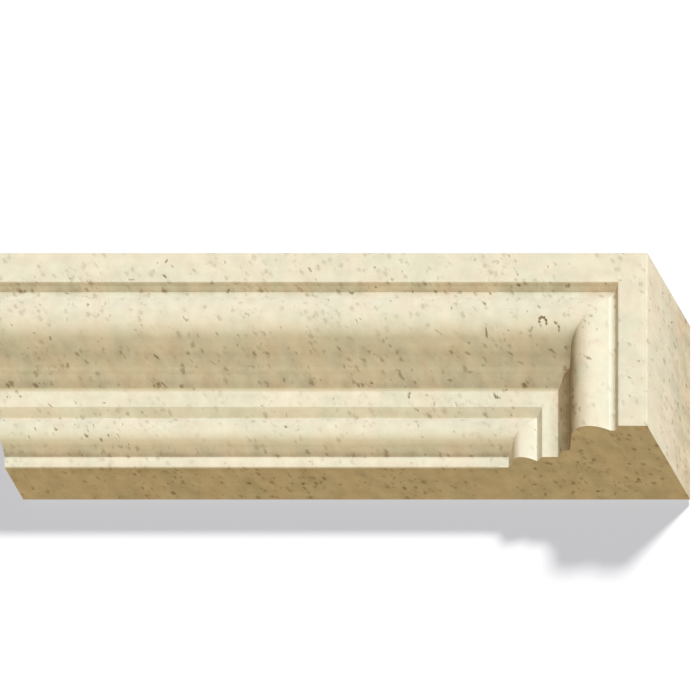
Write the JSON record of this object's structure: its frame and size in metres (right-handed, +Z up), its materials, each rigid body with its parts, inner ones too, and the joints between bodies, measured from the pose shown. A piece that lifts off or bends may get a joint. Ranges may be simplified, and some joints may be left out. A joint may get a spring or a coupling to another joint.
{
  "type": "architrave corner block",
  "caption": "Upper corner of a stone door or window surround: a long moulded arm mitred to a short leg, with flat fascias, ogees and a lip.",
  "frame": {"origin": "middle of the flat wall face, halfway along the arm and halfway up the block", "axes": "+X along the arm towards the corner, +Y into the wall, +Z up; the moulded front looks towards -Y"},
  "size_m": [0.5, 0.065, 0.13],
  "materials": {
    "stone": "matte"
  },
  "bodies": {
    "root": {"corner_block": "stone"}
  },
  "joints": []
}
